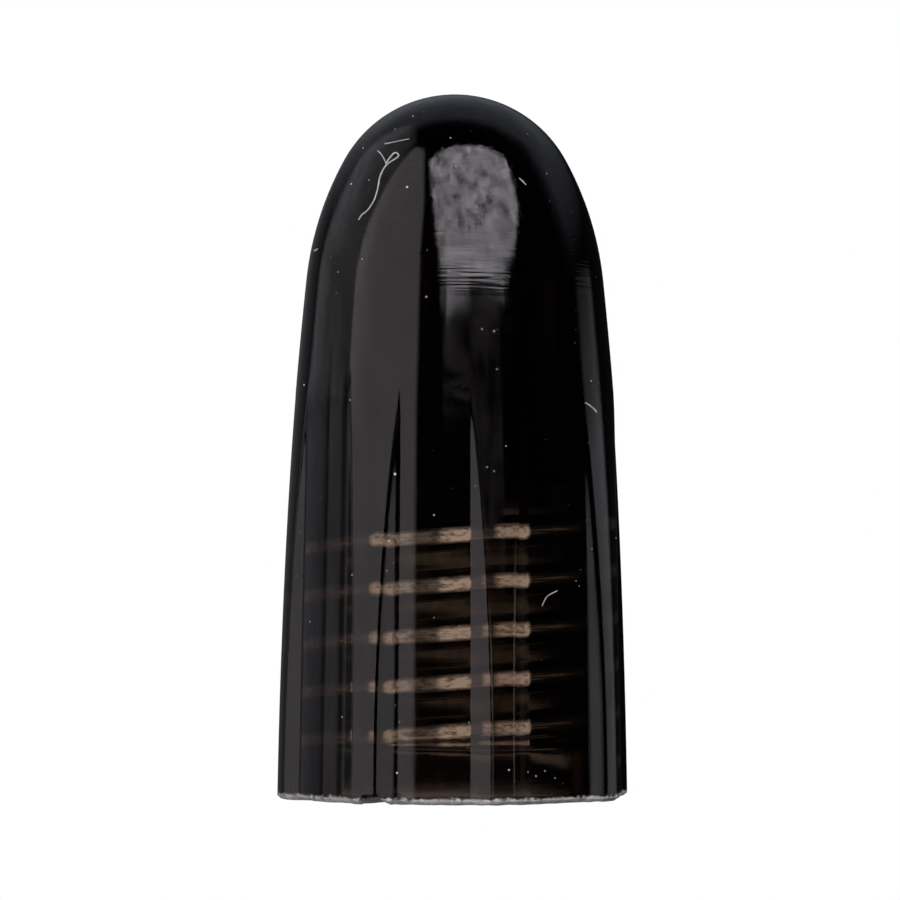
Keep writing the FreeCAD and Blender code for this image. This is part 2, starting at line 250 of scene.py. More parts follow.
def outer_row(z):
    """One ring of the outside."""
    ring = []
    for rib, station in columns:
        turn = column_turn(min(z, RUN_OUT), station)
        angle = radians(PANEL_CENTRE + PITCH_OF_RIBS * rib + turn)
        radius = flank_point(z, turn) if z < flank_top else body_radius(z)
        x, y = radius * cos(angle), radius * sin(angle)
        ring.append((x, y, worn(x, y, z)))
    return ring


def rim_row(share, inset, z):
    """One ring of the rim: share 0 is its outer edge and 1 the edge of the bore."""
    ring = []
    for (rib, station), angle in zip(columns, foot_angles):
        outside = flank_point(0, column_turn(0, station)) - inset
        radius = outside + (ENTRY_RADIUS - outside) * share
        x, y = radius * cos(radians(angle)), radius * sin(radians(angle))
        nibble = 1 - RIM_NIBBLE * rough(x, y, 0, 4.0, 11.0) * (1 - share)
        ring.append((x * nibble, y * nibble, worn(x * nibble, y * nibble, z)))
    return ring


for z in reversed(outer_heights):
    rows.append(outer_row(z))
rows[0] = [(0, 0, cap_height)] * len(columns)
for inset, z in ((0.02, 0.045), (0.05, 0.015), (0.09, 0.0)):
    rows.append(rim_row(0, inset, z))
for share in (0.06, 0.2, 0.4, 0.6, 0.8, 0.95):
    rows.append(rim_row(share, BEVEL, 0.0))
outer_count = len(rows)
print(f"{outer_count} rows outside and on the rim")

# %% [markdown]
# ## The bore and its thread
#
# The bore is stepped: a plain entry, a cone, the crests of the thread, then a slimmer bore that
# tapers to a small flat. The thread is a groove with flanks of 30 degrees that climbs 1.058 mm a
# turn, right hand. It matters a great deal here, because its turns are what shows through the
# wall as brown-gold bands, and their height and slope have to come from the real spiral.
# Rows that lie level would cut across the groove in steps. So the grid is sheared: in this
# stretch every row climbs one pitch per turn and lies exactly along the groove's corners. A
# wedge of rows below and another above take it back to level rings.

# %% The plain bore
ENTRY_TOP = 1.15
CONE_TOP = 1.6
CREST_RADIUS = mounts["stem_thread"]
SLIM_RADIUS = mounts["tip_bore"]
LAND_TOP = 6.91
SLIM_FOOT = 7.11
SLIM_TOP = 11.1
BLIND_END = 13.7
BLIND_FLAT = 0.6
taper_run = SLIM_RADIUS - BLIND_FLAT
taper_rise = BLIND_END - SLIM_TOP
taper_radius = (taper_run ** 2 + taper_rise ** 2) / (2 * taper_run)


def bore_radius(z):
    """Radius of the bore without its thread."""
    if z > SLIM_TOP:
        return SLIM_RADIUS - taper_radius + sqrt(taper_radius ** 2 - (z - SLIM_TOP) ** 2)
    marks = [0, ENTRY_TOP, CONE_TOP, LAND_TOP, SLIM_FOOT, SLIM_TOP]
    radii = [ENTRY_RADIUS, ENTRY_RADIUS, CREST_RADIUS, CREST_RADIUS, SLIM_RADIUS, SLIM_RADIUS]
    return float(np.interp(z, marks, radii))


print(f"blind end at {BLIND_END} mm, drawn in by an arc of {taper_radius:.2f} mm")

# %% The thread's groove
THREAD_PITCH = 1.058
THREAD_ROOT = 2.6
THREAD_START = 0.74
THREAD_TURNS = 5.47 / THREAD_PITCH
FLANK_SLOPE = 1 / tan(radians(30))
HALF_ROOT = THREAD_PITCH / 12
ROOT_SOFTNESS = 0.06
half_open = HALF_ROOT + (THREAD_ROOT - CREST_RADIUS) / FLANK_SLOPE
THREAD_FADE = 14 / 360
GRID_FOOT = 0.55
CREST_EASE = 0.01
groove_level = THREAD_START + THREAD_PITCH * PANEL_CENTRE / 360


def threaded_radius(z, angle):
    """Radius of the bore with the groove cut into it, at an angle in degrees."""
    plain = bore_radius(z)
    turn = (angle - PANEL_CENTRE) / 360
    above = (z - groove_level) / THREAD_PITCH - turn
    whole = round(above)
    travelled = angle / 360 + whole
    fade = min(travelled / THREAD_FADE, (THREAD_TURNS - travelled) / THREAD_FADE, 1)
    if fade <= 0:
        return plain
    off = abs(above - whole) * THREAD_PITCH
    groove = THREAD_ROOT - larger(off - HALF_ROOT, 0, ROOT_SOFTNESS) * FLANK_SLOPE
    return plain + fade * (larger(groove, plain, CREST_EASE) - plain)


ROOT_MARGIN = 0.05
ROOT_FADE = 0.04
ROOT_DEPTH = 0.12


def root_share(x, y, z):
    """1 in the root of the groove, 0 away from it."""
    angle = np.degrees(np.arctan2(y, x)) % 360
    above = (z - groove_level) / THREAD_PITCH - (angle - PANEL_CENTRE) / 360
    whole = np.round(above)
    travelled = angle / 360 + whole
    inside = (travelled > 0) & (travelled < THREAD_TURNS)
    off = np.abs(above - whole) * THREAD_PITCH
    deep = np.hypot(x, y) > CREST_RADIUS + ROOT_DEPTH
    return np.clip((HALF_ROOT + ROOT_MARGIN - off) / ROOT_FADE, 0, 1) * inside * deep


print(f"{THREAD_TURNS:.2f} turns of thread")


# %% Rows of the bore
offsets = [-0.42, -half_open - 0.03, -half_open, -half_open + 0.03, -0.19, -HALF_ROOT - 0.03, -HALF_ROOT,
           -HALF_ROOT + 0.03, 0, HALF_ROOT - 0.03, HALF_ROOT, HALF_ROOT + 0.03, 0.19,
           half_open - 0.03, half_open, half_open + 0.03, 0.42, 0.529]
steps = sorted((groove_level - GRID_FOOT + offset) % THREAD_PITCH for offset in offsets)
steps = [0.0, *steps[1:], THREAD_PITCH]
TURNS_OF_GRID = 6


def bore_row(level):
    """One ring of the bore. level gives its height from the share of a turn."""
    ring = []
    for angle in foot_angles:
        z = level((angle - PANEL_CENTRE) / 360)
        radius = threaded_radius(z, angle)
        x, y = radius * cos(radians(angle)), radius * sin(radians(angle))
        ring.append((x, y, worn(x, y, z)))
    return ring


def level_row(z):
    """One level ring of the bore."""
    return bore_row(lambda turn: z)


for z in (0.03, 0.08, 0.2, 0.38):
    rows.append(level_row(z))
for step in steps[:-1]:
    rows.append(bore_row(lambda turn: GRID_FOOT + turn * step))
for whole in range(TURNS_OF_GRID - 1):
    for step in steps[:-1]:
        rows.append(bore_row(lambda turn: GRID_FOOT + THREAD_PITCH * (turn + whole) + step))
for step in steps:
    rows.append(bore_row(
        lambda turn: GRID_FOOT + THREAD_PITCH * (turn + TURNS_OF_GRID - 1) + (1 - turn) * step))
for z in (LAND_TOP + 0.03, 7.0, SLIM_FOOT - 0.02, SLIM_FOOT + 0.02, 7.2, 7.6, 8.3, 9, 9.7, 10.4, SLIM_TOP):
    rows.append(level_row(z))
for z in np.linspace(SLIM_TOP, BLIND_END, 20)[1:]:
    rows.append(level_row(float(z)))
for share in (0.93, 0.6, 0.3, 0.0):
    flat = BLIND_FLAT * share
    turns = [radians(angle) for angle in foot_angles]
    rows.append([(flat * cos(turn), flat * sin(turn), BLIND_END) for turn in turns])
print(f"{len(rows)} rows in all, thread groove open {2 * half_open:.2f} mm at its crests")

# %% [markdown]
# ## One closed skin
#
# Light that enters plastic has to find a way out, so the mesh must be closed, with no double
# walls and no holes. The grid is joined to a mesh, and the points that coincide are merged: the
# seam, the two poles and the thin ends of the wedges. Four numbers are kept on each point, for
# the material: whether it lies in the bore, how near it is to the blind end, how near to the
# worn rim, and whether it lies in the root of the thread. One material with such masks is better
# than several materials here, because a renderer follows the tint inside the plastic per
# material.

# %% Join the grid
RIM_ZONE = 0.32
MERGE_WITHIN = 2e-7
row_size = len(columns)
points = np.array(rows, float).reshape(-1, 3)
faces = []
for row in range(len(rows) - 1):
    for column in range(row_size - 1):
        here = row * row_size + column
        faces.append((here, here + row_size, here + row_size + 1, here + 1))
cap_mesh = bpy.data.meshes.new("smoked_cap")
cap_mesh.from_pydata((points * MM).tolist(), [], faces)

in_bore = (np.arange(len(points)) // row_size >= outer_count).astype(np.float32)
heights = points[:, 2]
near_end = in_bore * np.clip((heights - SLIM_TOP) / (BLIND_END - SLIM_TOP), 0, 1)
near_rim = np.clip(1 - heights / RIM_ZONE, 0, 1)
in_root = in_bore * root_share(points[:, 0], points[:, 1], heights)
masks = {"bore": in_bore, "blind_end": near_end, "rim": near_rim, "root": in_root}
for name, values in masks.items():
    layer = cap_mesh.attributes.new(name, "FLOAT", "POINT")
    layer.data.foreach_set("value", values.astype(np.float32))

shaper = bmesh.new()
shaper.from_mesh(cap_mesh)
bmesh.ops.remove_doubles(shaper, verts=shaper.verts, dist=MERGE_WITHIN)
bmesh.ops.recalc_face_normals(shaper, faces=shaper.faces)
open_edges = [edge for edge in shaper.edges if len(edge.link_faces) != 2]
volume = shaper.calc_volume() / MM ** 3
shaper.to_mesh(cap_mesh)
shaper.free()
cap_mesh.shade_smooth()
smoked_cap = bpy.data.objects.new("smoked_cap", cap_mesh)
bpy.context.scene.collection.objects.link(smoked_cap)
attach(smoked_cap, "root")
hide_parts("cap")
print(f"{len(cap_mesh.polygons)} faces, {len(open_edges)} open edges, {volume:.1f} cubic mm")

# %% [markdown]
# ## Shader arithmetic that reads like arithmetic
#
# A material is a net of nodes. Written out node by node it is long and hard to check, so one
# small class wraps an output socket. Adding or multiplying two of them adds a Math node, and one
# method makes any other node from its type, its settings and its inputs.

# %% The wrapper
class Wire:
    """An output socket of a node tree."""

    def __init__(self, tree, socket):
        self.tree = tree
        self.socket = socket

    @classmethod
    def node(cls, tree, kind, settings=None, inputs=None, output=0):
        """Make one node: its settings first, then the values or links of its sockets."""
        made = tree.nodes.new(kind)
        for name, value in (settings or {}).items():
            if name == "stops":
                cls.set_stops(made.color_ramp, value)
            else:
                setattr(made, name, value)
        for name, value in (inputs or {}).items():
            socket = made.inputs[name]
            if isinstance(value, Wire):
                tree.links.new(value.socket, socket)
            else:
                socket.default_value = value
        return cls(tree, made.outputs[output]) if made.outputs else None

    @staticmethod
    def set_stops(ramp, stops):
        """Give a colour ramp its stops, as (place, grey or colour)."""
        while len(ramp.elements) < len(stops):
            ramp.elements.new(0.5)
        for element, (place, colour) in zip(ramp.elements, stops):
            element.position = place
            element.color = (colour, colour, colour, 1) if isinstance(colour, float) else (*colour, 1)

    def maths(self, operation, *others):
        """One Math node with this socket as its first value."""
        values = dict(enumerate((self, *others)))
        return Wire.node(self.tree, "ShaderNodeMath", {"operation": operation}, values)

    def __add__(self, other):
        return self.maths("ADD", other)

    def __sub__(self, other):
        return self.maths("SUBTRACT", other)

    def __mul__(self, other):
        return self.maths("MULTIPLY", other)

    def __truediv__(self, other):
        return self.maths("DIVIDE", other)

    def __pow__(self, other):
        return self.maths("POWER", other)

    def __rsub__(self, other):
        return (self * -1).maths("ADD", other)

    __radd__ = __add__
    __rmul__ = __mul__

    def held(self):
        """The value kept between 0 and 1."""
        made = self.maths("ADD", 0.0)
        made.socket.node.use_clamp = True
        return made

    def above(self, start, width):
        """0 below start, rising to 1 over width."""
        return ((self - start) / width).held()

    def split(self):
        """The three parts of a vector."""
        made = Wire.node(self.tree, "ShaderNodeSeparateXYZ", None, {"Vector": self}).socket.node
        return [Wire(self.tree, made.outputs[axis]) for axis in "XYZ"]

    def dot(self, direction):
        """How far this vector points along a fixed direction."""
        return Wire.node(self.tree, "ShaderNodeVectorMath", {"operation": "DOT_PRODUCT"},
                         {0: self, 1: direction}, "Value")


def mixed(tree, share, first, second):
    """Colour between two colours."""
    return Wire.node(tree, "ShaderNodeMix", {"data_type": "RGBA"},
                     {0: share, 6: first, 7: second}, 2)


print("shader arithmetic is ready")

# %% [markdown]
# ## Smoked plastic
#
# The plastic is clear, with a brown-black dye in it: thin parts let some light through, thick
# parts none. So the surface is a clear Principled shader with the refractive index of acrylic,
# and the colour comes from a constant Volume Absorption, which takes red away least. That
# is also why nearly white light from the thread comes out gold.
# The outside is polished but handled: faint upright scratches and a grain, level tool marks
# round the shoulder, and rubbing on one side of the nose. The bore is satin from its core pin
# and keeps rings of tool marks. The rim is rubbed pale, so a chalky shader is mixed in there.

# %% Dye in the plastic
SMOKE = (1.5, 1.72, 1.9)
smoke_density = max(SMOKE) / MM
SMOKE_COLOUR = tuple(1 - amount / max(SMOKE) for amount in SMOKE)

plastic = bpy.data.materials.new("smoked_plastic")
plastic.use_nodes = True
tree = plastic.node_tree
tree.nodes.clear()
print(f"dye of colour {[round(part, 3) for part in SMOKE_COLOUR]}")

# %% Where on the cap a point lies, in millimetres
place = Wire.node(tree, "ShaderNodeTexCoord", output="Object")
mm_place = Wire.node(tree, "ShaderNodeVectorMath", {"operation": "SCALE"}, {0: place, "Scale": 1 / MM})
bore = Wire.node(tree, "ShaderNodeAttribute", {"attribute_name": "bore"}, output="Fac")
blind_end = Wire.node(tree, "ShaderNodeAttribute", {"attribute_name": "blind_end"}, output="Fac")
rim = Wire.node(tree, "ShaderNodeAttribute", {"attribute_name": "rim"}, output="Fac")


def stretched(x, y, z):
    """Coordinates in millimetres, stretched along the axes."""
    return Wire.node(tree, "ShaderNodeMapping", None, {"Vector": mm_place, "Scale": (x, y, z)})


def grain(coordinates, scale, detail, roughness=0.55):
    """Noise from 0 to 1."""
    return Wire.node(tree, "ShaderNodeTexNoise", None,
                     {"Vector": coordinates, "Scale": scale, "Detail": detail, "Roughness": roughness})


across, along, height = mm_place.split()
print("places and masks are ready")

# %% Relief and gloss of each zone
outside = 1 - bore
scratches = grain(stretched(9, 9, 0.5), 1.0, 1.0).above(0.6, 0.25)
fine_grain = grain(mm_place, 26.0, 0.0)
waviness = grain(stretched(1, 1, 0.35), 1.1, 0.0)
rim_grain = grain(mm_place, 7.0, 3.0)
rubbed = (rim * 1.7 + rim_grain - 1.35).above(0.0, 0.35)
rings = grain(stretched(0.6, 0.6, 14.0), 1.0, 1.0)
shoulder = height.above(10.9, 0.5) * (1 - height.above(12.5, 0.5))
handled = height.above(12.3, 0.6) * across.above(-0.5, 0.4)
tool_marks = grain(stretched(0.5, 0.5, 17), 1.0, 1.0) * shoulder * 0.0026
rubbing = grain(stretched(9, 9, 5), 1.0, 2.0, 0.65) * handled * 0.003
bore_relief = rings * 0.0012 * bore
skin = fine_grain * 0.00005 + scratches * 0.0002 + waviness * 0.002
outer_relief = (skin + tool_marks + rubbing) * outside
relief = bore_relief + outer_relief + rim_grain * rubbed * 0.02
bump = Wire.node(tree, "ShaderNodeBump", None,
                 {"Height": relief, "Strength": 1.0, "Distance": MM}, "Normal")
smudges = grain(mm_place, 1.4, 1.0).above(0.45, 0.4)
gloss = 0.03 + smudges * 0.05 + fine_grain * 0.02
satin = 0.16 + blind_end * 0.25
roughness = gloss * outside + satin * bore + rubbed * 0.5
print(f"{len(tree.nodes)} nodes for relief and gloss")

# %% [markdown]
# ## A stand-in for the light in the thread
#
# In the photo the roots of the thread shine through the wall, all turns about equally bright.
# Probably light from below is spread by the rough root of a moulded thread. Followed ray by ray
# it gave bands at the right heights, but thin, and weaker with each turn. So this is a
# stand-in: the root gives off light of its own. A ramp round the cap, set to agree with
# the photo, makes it brighter or dimmer, and the dye on the way out turns it gold. It belongs to
# the cap and stays when the light changes, which the glow of a real cap wouldn't.

# %% Glow of the root
GLOW = (1.0, 0.95, 0.86)
GLOW_STRENGTH = 1.7
GLOW_AT_FRONT = [
    (0.0, 0.2), (0.25, 0.2), (0.30, 0.06), (0.392, 0.05), (0.396, 1.0), (0.406, 1.0), (0.41, 0.5),
    (0.443, 0.5), (0.452, 0.16), (0.478, 0.2), (0.486, 0.85), (0.526, 1.0), (0.530, 0.06), (0.549, 0.06),
    (0.553, 0.8), (0.588, 1.0), (0.596, 0.01), (0.73, 0.01), (0.78, 0.2)]
bearing = across.maths("ARCTAN2", along * -1) / (2 * pi) + 0.5
root = Wire.node(tree, "ShaderNodeAttribute", {"attribute_name": "root"}, output="Fac")
uneven = Wire.node(tree, "ShaderNodeValToRGB", {"stops": GLOW_AT_FRONT}, {"Fac": bearing})
flicker = (grain(stretched(5, 5, 11), 1.0, 2.0, 0.65) * 4 - 1.3).held() * 0.95 + 0.3
shine = root * uneven * flicker
glow_colour = mixed(tree, shine, (0, 0, 0, 1), (*GLOW, 1))
print(f"glow of strength {GLOW_STRENGTH}, set at {len(GLOW_AT_FRONT)} bearings")

# %% The shader itself
TINT = (0.62, 0.56, 0.54, 1)
RUBBED_TINT = (0.85, 0.84, 0.83, 1)
CHALKY_SHARE = 0.85
surface = Wire.node(tree, "ShaderNodeBsdfPrincipled", None, {
    "Base Color": mixed(tree, rubbed, TINT, RUBBED_TINT),
    "Roughness": roughness.held(),
    "IOR": 1.49,
    "Transmission Weight": 1.0,
    "Normal": bump,
    "Emission Color": glow_colour,
    "Emission Strength": GLOW_STRENGTH,
})
dye = Wire.node(tree, "ShaderNodeVolumeAbsorption", None,
                {"Color": (*SMOKE_COLOUR, 1), "Density": smoke_density})
chalky = Wire.node(tree, "ShaderNodeBsdfPrincipled", None, {
    "Base Color": mixed(tree, rim_grain, (0.12, 0.12, 0.12, 1), (1.0, 0.99, 0.97, 1)),
    "Roughness": 0.6,
    "Normal": bump,
})
worn_surface = Wire.node(tree, "ShaderNodeMixShader", None,
                         {0: rubbed * CHALKY_SHARE, 1: surface, 2: chalky})
Wire.node(tree, "ShaderNodeOutputMaterial", None, {"Surface": worn_surface, "Volume": dye})
# the glow is seen directly, so no rays are spent on looking for it
plastic.cycles.emission_sampling = "NONE"
cap_mesh.materials.append(plastic)
print(f"{len(tree.nodes)} nodes in the plastic, density {smoke_density:.0f} per metre")

# %% [markdown]
# ## The camera
#
# The photo is taken from the front with a long lens, slightly from above the mouth: its front
# edge hangs a little lower than its sides. The camera stands 85 mm away at the height that
# gives this droop, is aimed at the middle of the picture, and its lens follows from the size
# of a pixel at the axis.

# %% Place the camera
DISTANCE = 85.0
EYE_HEIGHT = 4.0
PICTURE = 900
PIXEL = 0.02232
AIM = (-0.1, 7.74)
ROLL = 0.1
camera_data = bpy.data.cameras.new("camera")
camera_data.sensor_width = 36.0
camera_data.lens = 36.0 * DISTANCE / (PICTURE * PIXEL)
camera_data.clip_start = 0.001
camera_data.clip_end = 10.0
camera = bpy.data.objects.new("camera", camera_data)
bpy.context.scene.collection.objects.link(camera)
camera.location = Vector((0, -DISTANCE, EYE_HEIGHT)) * MM
look = Vector((AIM[0], 0, AIM[1])) * MM - camera.location
camera.rotation_euler = look.to_track_quat("-Z", "Y").to_euler()
camera.rotation_euler.rotate_axis("Z", radians(ROLL))
bpy.context.scene.camera = camera
print(f"lens {camera_data.lens:.1f} mm")

# %% [markdown]
# ## Floor and studio light
#
# A black, glossy thing shows nothing but its surroundings, so the light is built from what the
# plastic mirrors in the photo: a tall pale wall on the left with a dimmer corner beyond it, a
# window high on the right with its sill, a doorway, and narrow strips far round the sides, all
# in a dark room. These are patches of the world, bounded by straight edges as real panels are.
# The camera itself sees a white backdrop. The pale floor is for the camera alone: mirrored in
# the plastic it would lift the black of the wall. A small lamp under the mouth, hidden from the
# camera, sends a little light up the bore.

# %% The floor
SHEET_CORNERS = 96


def glowing_sheet(name, radius, depth, radiance):
    """Round sheet below the cap that gives off light."""
    bpy.ops.mesh.primitive_circle_add(vertices=SHEET_CORNERS, radius=radius * MM, fill_type="NGON",
                                      location=(0, 0, -depth * MM))
    sheet = bpy.context.object
    sheet.name = name
    sheet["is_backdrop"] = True
    finish = bpy.data.materials.new(name)
    finish.use_nodes = True
    finish.node_tree.nodes.clear()
    net = finish.node_tree
    glow = Wire.node(net, "ShaderNodeEmission", None, {"Color": (1, 1, 1, 1), "Strength": radiance})
    Wire.node(net, "ShaderNodeOutputMaterial", None, {"Surface": glow})
    sheet.data.materials.append(finish)
    return sheet


floor = glowing_sheet("floor", 60.0, 0.04, 1.0)
floor.visible_glossy = False
floor.visible_diffuse = False
floor.visible_transmission = False
lamp = glowing_sheet("lit_spot", 2.3, 0.02, 0.5)
lamp.visible_camera = False
lamp.visible_glossy = False
print("floor and lamp are laid")

# %% The surroundings
world = bpy.data.worlds.new("studio")
world.use_nodes = True
# the plastic mirrors the room directly, so no rays are spent on looking for it
world.cycles.sampling_method = "NONE"
bpy.context.scene.world = world
sky = world.node_tree
sky.nodes.clear()
heading = Wire.node(sky, "ShaderNodeTexCoord", output="Generated")


def toward(side, rise):
    """Direction from the cap: degrees to the right of the camera, and above the horizon."""
    side, rise = radians(side), radians(rise)
    return Vector((sin(side) * cos(rise), -cos(side) * cos(rise), sin(rise)))


def panel(corners, softness, looking):
    """Patch of the surroundings between straight edges, from its corners in order."""
    ways = [toward(*corner) for corner in corners]
    middle = sum(ways, Vector()).normalized()
    share = None
    for way, following in zip(ways, ways[1:] + ways[:1]):
        edge = way.cross(following).normalized()
        if edge.dot(middle) < 0:
            edge = -edge
        inside = looking.dot(tuple(edge)).above(-softness / 2, softness)
        share = inside if share is None else share * inside
    return share


print("a dark room, still empty")


# %% Panels of light
LIGHTS = [
    ("wall", [(-27, -60), (-27, 15), (-30, 41), (-48, 60), (-66, 58), (-76, 40), (-85, 8), (-86, -60)],
     0.05, (1.0, 0.91, 0.94), 0.15),
    ("window", [(-10, 15.5), (41, 15.5), (62, 36), (70, 52), (27, 66), (-36, 58)],
     0.05, (5.0, 4.7, 5.1), 0.85),
    ("sill", [(-6, 15.2), (-6, 17.0), (38, 17.0), (38, 15.2)], 0.008, (2.6, 2.5, 2.7), 0.6),
    ("below_window", [(-8, 6), (-8, 16), (34, 16), (34, 6)], 0.04, (0.2, 0.18, 0.2), 1.0),
    ("corner", [(-72, 12), (-70, 60), (-125, 62), (-130, 8), (-88, 8)], 0.12, (0.42, 0.4, 0.42), 0.4),
    ("left_strip", [(-130, -50), (-130, 9.5), (-104, 9.5), (-104, -50)], 0.1, (0.26, 0.25, 0.28), 0.3),
    ("left_edge", [(-101, -50), (-101, 9.5), (-88, 9.5), (-88, -50)], 0.05, (0.42, 0.4, 0.42), 0.3),
    ("doorway", [(11, -60), (11, 4.5), (18.5, 4.5), (18.5, -60)], 0.03, (0.86, 0.82, 0.84), 0.1),
    ("side_door", [(42, -60), (42, 6), (51, 6), (51, -60)], 0.04, (0.85, 0.82, 0.86), 0.2),
    ("right_strip", [(108, -50), (108, 9.5), (130, 9.5), (130, -50)], 0.1, (0.4, 0.4, 0.44), 0.3),
    ("sky", [(100, 20), (100, 75), (180, 85), (-100, 75), (-100, 20), (180, 20)],
     0.3, (0.2, 0.21, 0.25), 0.2),
]
SLATS_END = 0.46
RAGGED = 0.09
WINDOW_FOOT = 0.266
front = heading.dot((0, -1, 0))
level = heading.dot((0, 0, 1))
leaves = Wire.node(sky, "ShaderNodeTexNoise", None,
                   {"Vector": heading, "Scale": 10.0, "Detail": 5.0, "Roughness": 0.75})
flat_heading = Wire.node(sky, "ShaderNodeMapping", None, {"Vector": heading, "Scale": (4, 4, 36)})
slats = Wire.node(sky, "ShaderNodeTexNoise", None,
                  {"Vector": flat_heading, "Scale": 1.0, "Detail": 4.0, "Roughness": 0.65})
slat_share = 1 - level.above(SLATS_END - 0.08, 0.16)
mottle = ((leaves * (1 - slat_share) + slats * slat_share - 0.38) * 4.5).held()
shaken = Wire.node(sky, "ShaderNodeTexNoise", None,
                   {"Vector": heading, "Scale": 24.0, "Detail": 4.0}, "Color")
shift = Wire.node(sky, "ShaderNodeVectorMath", {"operation": "SUBTRACT"}, {0: shaken, 1: (0.5, 0.5, 0.5)})
ragged_heading = Wire.node(sky, "ShaderNodeVectorMath", {"operation": "MULTIPLY_ADD"},
                           {0: shift, 1: (RAGGED, RAGGED, 0), 2: heading})


def lit(share, radiance):
    """Light of one panel as a colour."""
    return Wire.node(sky, "ShaderNodeVectorMath", {"operation": "SCALE"}, {0: radiance, "Scale": share})


left_behind = (0 - front).above(0.55, 0.4) * (1 - heading.dot((1, 0, 0)).above(-0.1, 0.3))
room = 0.008 + 0.1 * left_behind
total = lit(room, (0.9, 0.93, 1.0))
for name, corners, softness, radiance, unevenness in LIGHTS:
    looking = ragged_heading if name == "window" else heading
    share = panel(corners, softness, looking) * (1 - unevenness + mottle * unevenness)
    if name == "window":
        share = share * level.above(WINDOW_FOOT, 0.006)
    patch = lit(share, radiance)
    total = Wire.node(sky, "ShaderNodeVectorMath", {"operation": "ADD"}, {0: total, 1: patch})
studio_light = Wire.node(sky, "ShaderNodeBackground", None, {"Color": total, "Strength": 1.0})
backdrop = Wire.node(sky, "ShaderNodeBackground", None, {"Color": (1, 1, 1, 1), "Strength": 1.0})
seen = Wire.node(sky, "ShaderNodeLightPath", output="Is Camera Ray")
shown = Wire.node(sky, "ShaderNodeMixShader", None, {0: seen, 1: studio_light, 2: backdrop})
Wire.node(sky, "ShaderNodeOutputWorld", None, {"Surface": shown})
print(f"{len(LIGHTS)} panels of light")

# %% [markdown]
# ## Dust and fibres
#
# The real cap isn't clean: bright specks, a looped fibre near the nose, a curved one low on the
# right. They are placed by the pixel at which the photo shows them: a ray from the camera
# through that pixel is cut with the cap, and the speck lies on the surface there, half sunk.
# More specks, from a fixed seed, lie all round. Real dust catches more light than this dark
# room gives, so the dirt is lifted by a little light of its own.

# %% From a pixel to the surface
DUST_SEED = 12
to_camera = camera.rotation_euler.to_matrix()
bpy.context.view_layer.update()


def surface_at(pixel):
    """Point of the cap and its outward direction under a pixel of the photo."""
    half = PICTURE / 2
    across = (pixel[0] - half) * PIXEL / DISTANCE
    down = (pixel[1] - half) * PIXEL / DISTANCE
    way = to_camera @ Vector((across, -down, -1))
    hit, point, outward = smoked_cap.ray_cast(camera.location, way.normalized())[:3]
    return (point, outward) if hit else None


print(f"nose under pixel (454, 100): {surface_at((454, 100))[0] / MM}")


# %% Materials of the dirt, with a painted glow
# painted light: the dirt gives off a little light of its own, so it looks brighter than the room lights it
DIRT_GLOW = 0.42
DIRT_DARKER = 0.55


def dirt_and_glow_material(name, colour, roughness):
    """Pale dirt with a little unevenness, and a painted glow of its own."""
    made = bpy.data.materials.new(name)
    made.use_nodes = True
    net = made.node_tree
    net.nodes.clear()
    where = Wire.node(net, "ShaderNodeTexCoord", output="Object")
    fine = Wire.node(net, "ShaderNodeTexNoise", None, {"Vector": where, "Scale": 9000.0, "Detail": 2.0})
    darker = tuple(part * DIRT_DARKER for part in colour)
    shade = mixed(net, fine, (*darker, 1), (*colour, 1))
    # painted glow, in the dirt's own colour
    painted_glow = mixed(net, fine, (0.0, 0.0, 0.0, 1), (*colour, 1))
    skin = Wire.node(net, "ShaderNodeBsdfPrincipled", None, {
        "Base Color": shade,
        "Roughness": roughness,
        "Emission Color": painted_glow,
        "Emission Strength": DIRT_GLOW,
    })
    Wire.node(net, "ShaderNodeOutputMaterial", None, {"Surface": skin})
    made.cycles.emission_sampling = "NONE"
    return made


dust_and_glow_finish = dirt_and_glow_material("dust", (0.75, 0.74, 0.73), 0.8)
fibre_and_glow_finish = dirt_and_glow_material("fibre", (0.5, 0.49, 0.49), 0.6)
print("dirt has its two finishes")

# %% Specks
SPECKS = [
    (351, 184, 2.4), (407, 187, 2.2), (363, 148, 1.5), (413, 116, 1.6), (395, 129, 1.0),
    (363, 138, 1.0), (369, 180, 1.2), (362, 259, 1.3), (338, 272, 1.2), (304, 385, 2.2),
    (350, 400, 1.2), (395, 474, 2.5), (482, 329, 1.2), (494, 331, 1.4), (497, 369, 1.2),
    (506, 446, 1.3), (487, 467, 1.2), (434, 515, 1.5), (616, 538, 2.0), (352, 575, 1.6),
    (576, 581, 1.1), (397, 773, 1.9), (509, 770, 1.5), (342, 717, 1.2), (555, 778, 1.2),
    (528, 772, 1.2), (536, 776, 1.5), (545, 771, 1.2), (523, 181, 1.5), (389, 541, 1.4),
]
STRAY_SPECKS = 260
SPECK_BULGE = 0.35
SPECK_FLATNESS = 0.45
SPECK_SINK = 0.003
STRAY_SINK = 0.4
STRAY_SIZE = (-4.9, 0.45)
STRAY_REACH = 3.8
chance = np.random.default_rng(DUST_SEED)
dust = bmesh.new()


def add_speck(point, outward, size):
    """One flattened, uneven grain, half sunk into the surface."""
    grain_shape = bmesh.ops.create_icosphere(dust, subdivisions=2, radius=size)
    turn_to = outward.to_track_quat("Z", "Y")
    for vertex in grain_shape["verts"]:
        bulge = 1 + SPECK_BULGE * noise.noise(vertex.co / size * 1.3 + point / MM)
        flat = Vector((vertex.co.x * bulge, vertex.co.y * bulge, vertex.co.z * SPECK_FLATNESS))
        vertex.co = point + turn_to @ flat


